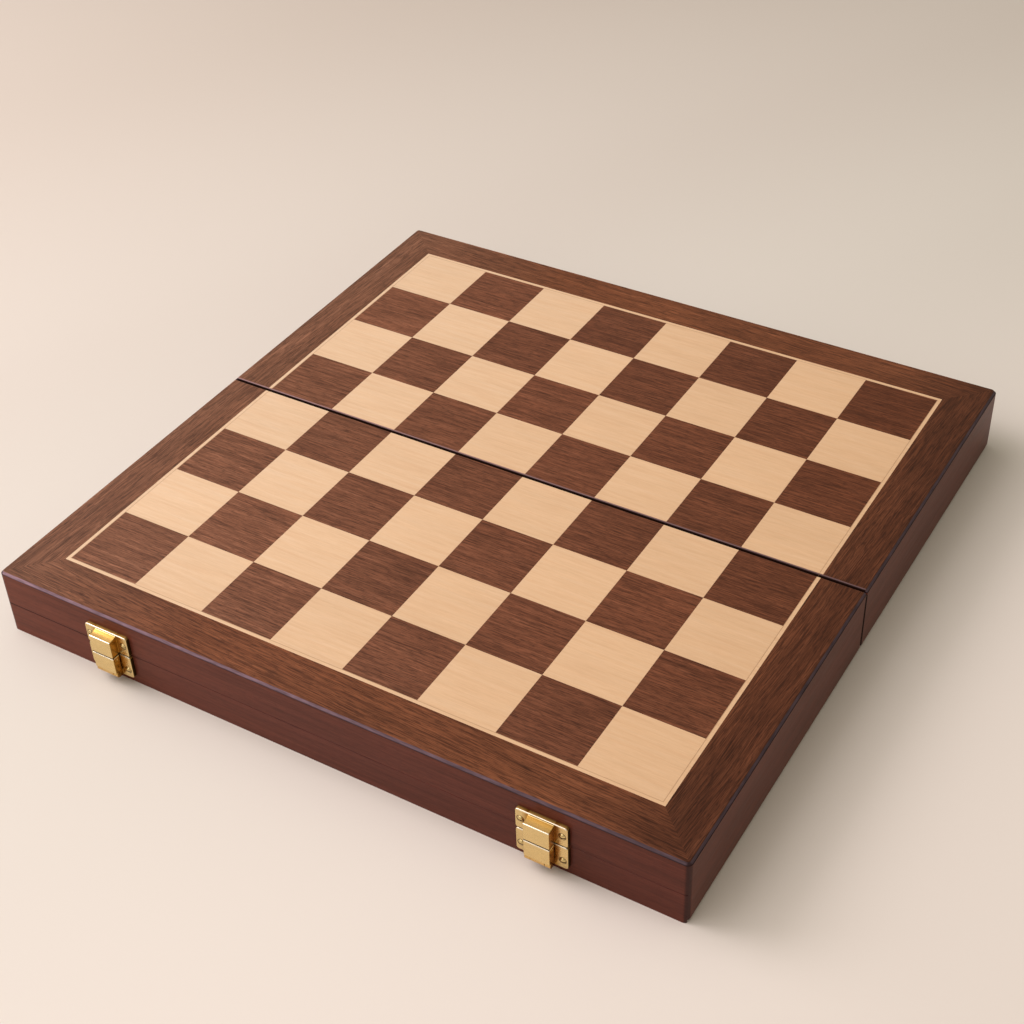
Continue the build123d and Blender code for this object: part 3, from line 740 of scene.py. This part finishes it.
class CHESSBOARD_OT_walls(bpy.types.Operator):
    """Finish the stained walls, the centre rails and the plywood core"""

    bl_idname = "chessboard.walls"
    bl_label = "Walls and core"

    def execute(self, context):
        look = context.scene.chessboard
        along_x = stained_mahogany("stained_mahogany_long", look, "X")
        along_y = stained_mahogany("stained_mahogany_side", look, "Y")
        core = birch_plywood("birch_plywood")
        for half in HALVES:
            for node in ("wall_upper_rail", "wall_lower_rail", "centre_rail"):
                dress(f"{half}_{node}", along_x)
            for hand in HANDS:
                dress(f"{half}_{hand}_wall", along_y)
            dress(f"{half}_panel_core", core)
        return {"FINISHED"}


class CHESSBOARD_OT_linings(bpy.types.Operator):
    """Form the felt lining of each storage well as a soft-cornered tray"""

    bl_idname = "chessboard.linings"
    bl_label = "Well linings"

    def execute(self, context):
        felt = flocked_felt("flocked_felt", context.scene.chessboard)
        for half in HALVES:
            node = f"{half}_well_lining"
            low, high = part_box(node)
            bpy.ops.object.select_all(action="DESELECT")
            bpy.ops.mesh.primitive_cube_add(size=1, location=(low + high) / 2)
            tray = bpy.context.object
            tray.name = f"{half}_felt_tray"
            tray.scale = high - low
            bpy.ops.object.transform_apply(location=True, rotation=True, scale=True)
            pick(tray, "FACE", lambda face: face.normal.z < -0.9)
            bpy.ops.mesh.delete(type="FACE")
            bpy.ops.object.mode_set(mode="OBJECT")
            ends = tray.data.vertices
            pick(tray, "EDGE", lambda edge: max(ends[i].co.z for i in edge.vertices) > low.z + MM)
            bpy.ops.mesh.bevel(offset=TRAY_ROUNDING, segments=5, affect="EDGES")
            bpy.ops.object.mode_set(mode="OBJECT")
            bpy.ops.object.modifier_add(type="SOLIDIFY")
            tray.modifiers[-1].thickness = LINING
            tray.modifiers[-1].offset = -1
            bpy.ops.object.modifier_apply(modifier=tray.modifiers[-1].name)
            bpy.ops.object.shade_smooth_by_angle(angle=math.radians(40))
            tray.data.materials.append(felt)
            stand_for(tray, node)
        return {"FINISHED"}


class CHESSBOARD_OT_latches(bpy.types.Operator):
    """Make the brass latches and strikes with softly rounded edges"""

    bl_idname = "chessboard.latches"
    bl_label = "Latches and strikes"

    def execute(self, context):
        look = context.scene.chessboard
        brass = buffed_brass("buffed_brass", look, look.brass_roughness, shade_and_highlights_painted=True)
        for hand in HANDS:
            for node in ("latch_keeper", "hasp_plate", "hasp", "strike_plate"):
                eased_copy(f"{hand}_{node}", look.easing, brass)
            dress(f"{hand}_hasp_pin", brass)
        return {"FINISHED"}


class CHESSBOARD_OT_hinges(bpy.types.Operator):
    """Finish the flush hinges under the fold and every screw"""

    bl_idname = "chessboard.hinges"
    bl_label = "Hinges and screws"

    def execute(self, context):
        look = context.scene.chessboard
        brass = buffed_brass("drawn_brass", look, look.brass_roughness + 0.06)
        for hand in HANDS:
            dress(f"{hand}_hinge_link", brass)
            for half in HALVES:
                dress(f"{half}_{hand}_hinge_leaf", brass)
        for half in HALVES:
            dress(f"{half}_hinge_pins", brass)
            dress(f"{half}_hinge_screws", brass)
        dress("latch_screws", screw_brass("screw_brass", look))
        dress("strike_screws", brass)
        return {"FINISHED"}


class CHESSBOARD_OT_stage(bpy.types.Operator):
    """Set up the floor, the lamps and the camera"""

    bl_idname = "chessboard.stage"
    bl_label = "Stage"

    def execute(self, context):
        look = context.scene.chessboard
        context.scene.view_settings.view_transform = "Standard"
        lay_floor(look)
        light_room(context.scene, look)
        place_camera(context.scene, look)
        return {"FINISHED"}


# Matt backdrop paper: pale and without gloss, with painted light that darkens it towards the back on the left
def lay_floor(look):
    """A wide pale floor, with painted shade that makes it a little deeper towards the back on the left."""
    bpy.ops.object.select_all(action="DESELECT")
    bpy.ops.mesh.primitive_plane_add(size=12.0, location=(0, 0, 0))
    floor = bpy.context.object
    floor.name = "floor"
    material, tree, surface, place = blank_material("backdrop_paper")
    reach = add_node(tree, "VectorMath", place, (0.9, -0.43, 0), operation="DOT_PRODUCT", output="Value")
    ramp = add_node(tree, "ValToRGB", add_node(tree, "MapRange", reach, -0.55, 0.25, 0.0, 1.0))
    ramp.node.color_ramp.interpolation = "EASE"
    stops = ramp.node.color_ramp.elements
    stops[0].color = look.floor_far
    stops[1].color = look.floor_near
    stops.new(0.37).color = look.floor_back
    stops.new(0.59).color = look.floor_middle
    cloud = add_node(tree, "TexNoise", place, 2.0, 2.0)
    tree.links.new(shaded(tree, ramp, cloud, 0.01), surface["Base Color"])
    surface["Roughness"].default_value = 0.9
    floor.data.materials.append(material)


def soft_box(name, place, target, size, power, colour):
    """A square lamp that faces its target."""
    data = bpy.data.lights.new(name, "AREA")
    data.size = size
    data.energy = power
    data.color = linear(colour)[:3]
    lamp = bpy.data.objects.new(name, data)
    bpy.context.scene.collection.objects.link(lamp)
    lamp.location = place
    lamp.rotation_euler = (Vector(target) - Vector(place)).to_track_quat("-Z", "Y").to_euler()


def light_room(scene, look):
    """Two soft boxes on the left, three weaker ones further back, above and in front, and a warm room."""
    world = bpy.data.worlds.new("pale_room")
    scene.world = world
    world.use_nodes = True
    tree = world.node_tree
    tree.nodes.clear()
    add_node(tree, "OutputWorld", add_node(tree, "Background", linear("#fff9e5"), look.room_strength))
    soft_box("side_box", (-1.1, -0.3, 0.8), (0, 0, 0), 0.8, look.side_power, "#fdf6fe")
    soft_box("key_box", (-0.8, -0.5, 1.1), (0, 0, 0), 1.1, look.key_power, "#fdf6fe")
    soft_box("rear_box", (-0.72, 0.08, 1.0), (0, 0, 0), 1.1, look.fill_power, "#fdf6fe")
    soft_box("top_box", (0.0, -0.3, 1.5), (0, 0, 0), 1.0, look.fill_power, "#fdf6fe")
    soft_box("front_box", (-0.4, -1.5, 1.0), (0, 0, 0), 1.0, look.fill_power, "#fdf6fe")


def place_camera(scene, look):
    """The camera at the photograph's angle."""
    turn, tilt, roll = look.camera_turn, look.camera_tilt, look.camera_roll
    ahead = Vector((math.sin(turn) * math.cos(tilt), math.cos(turn) * math.cos(tilt), -math.sin(tilt)))
    level = Vector((math.cos(turn), -math.sin(turn), 0))
    upright = level.cross(ahead)
    right = math.cos(roll) * level + math.sin(roll) * upright
    up = -math.sin(roll) * level + math.cos(roll) * upright
    data = bpy.data.cameras.new("camera")
    data.sensor_width = 36.0
    data.lens = look.camera_lens
    data.clip_start = 0.01
    camera = bpy.data.objects.new("camera", data)
    scene.collection.objects.link(camera)
    facing = Matrix((right, up, -ahead)).transposed().to_4x4()
    camera.matrix_world = Matrix.Translation(look.camera_place) @ facing
    scene.camera = camera


class CHESSBOARD_PT_panel(bpy.types.Panel):
    """Lists the steps that finish the board"""

    bl_idname = "CHESSBOARD_PT_panel"
    bl_label = "Folding chess board"
    bl_space_type = "VIEW_3D"
    bl_region_type = "UI"
    bl_category = "Chess board"

    def draw(self, context):
        for step in STEPS:
            self.layout.operator(step.bl_idname)


STEPS = (
    CHESSBOARD_OT_squares,
    CHESSBOARD_OT_borders,
    CHESSBOARD_OT_walls,
    CHESSBOARD_OT_linings,
    CHESSBOARD_OT_latches,
    CHESSBOARD_OT_hinges,
    CHESSBOARD_OT_stage,
)
CLASSES = (WoodLook, ChessboardSettings, *STEPS, CHESSBOARD_PT_panel)


def register():
    for each in CLASSES:
        bpy.utils.register_class(each)
    bpy.types.Scene.chessboard = PointerProperty(type=ChessboardSettings)


def unregister():
    del bpy.types.Scene.chessboard
    for each in reversed(CLASSES):
        bpy.utils.unregister_class(each)


def set_looks(look):
    """Where each wood differs from the defaults, which are those of plain walnut."""
    # The tints of each wood are painted light: paler at the left and darker at the right
    walnut = {
        "left_painted_light": (1.26, 1.49, 1.64),
        "right_painted_light": (0.76, 0.66, 0.56),
        "painted_light_way": (0.83, 0.46, 0),
    }
    border = {
        "figure_length": 60 * MM,
        "figure_width": 10 * MM,
        "figure_depth": 0.18,
        "streak_length": 40 * MM,
        "streak_width": 1.4 * MM,
        "fibre_length": 16 * MM,
        "fibre_depth": 0.55,
        "pore_length": 5 * MM,
        "pore_width": 0.35 * MM,
        "pore_depth": 0.5,
        "slant": math.radians(3),
        "sway": 3 * MM,
        "left_painted_light": (1.13, 1.42, 1.62),
        "middle_painted_light": (1.0, 0.95, 0.8),
        "right_painted_light": (0.6, 0.55, 0.48),
        "painted_light_from": -60 * MM,
        "painted_light_to": 100 * MM,
        "painted_light_end": 140 * MM,
    }
    maple = {
        "dark": linear("#d4ad86"),
        "middle": linear("#d8b38c"),
        "light": linear("#dab792"),
        "pore": linear("#c49e78"),
        "figure_depth": 0.025,
        "fibre_depth": 0.045,
        "pore_depth": 0.12,
        "square_depth": 0.02,
        "bump": 0.05,
        "left_painted_light": (1.0, 1.06, 1.14),
        "right_painted_light": (0.97, 0.94, 0.9),
    }
    mahogany = {
        "dark": linear("#562b20"),
        "middle": linear("#5f3025"),
        "light": linear("#68362a"),
        "pore": linear("#3c1d17"),
        "figure_depth": 0.1,
        "streak_length": 45 * MM,
        "streak_width": 1.2 * MM,
        "fibre_length": 14 * MM,
        "fibre_depth": 0.1,
        "pore_depth": 0.25,
        "left_painted_light": (1.26, 1.17, 1.0),
        "right_painted_light": (0.88, 0.76, 0.69),
        "bump": 0.1,
        "coat": 0.08,
    }
    looks = {"walnut": walnut, "border": border, "maple": maple, "mahogany": mahogany}
    for wood, values in looks.items():
        for name, value in values.items():
            setattr(getattr(look, wood), name, value)


def main():
    register()
    set_looks(bpy.context.scene.chessboard)
    bpy.ops.chessboard.squares()
    bpy.ops.chessboard.borders()
    bpy.ops.chessboard.walls()
    bpy.ops.chessboard.linings()
    bpy.ops.chessboard.latches()
    bpy.ops.chessboard.hinges()
    bpy.ops.chessboard.stage()


if __name__ == "__main__":
    main()
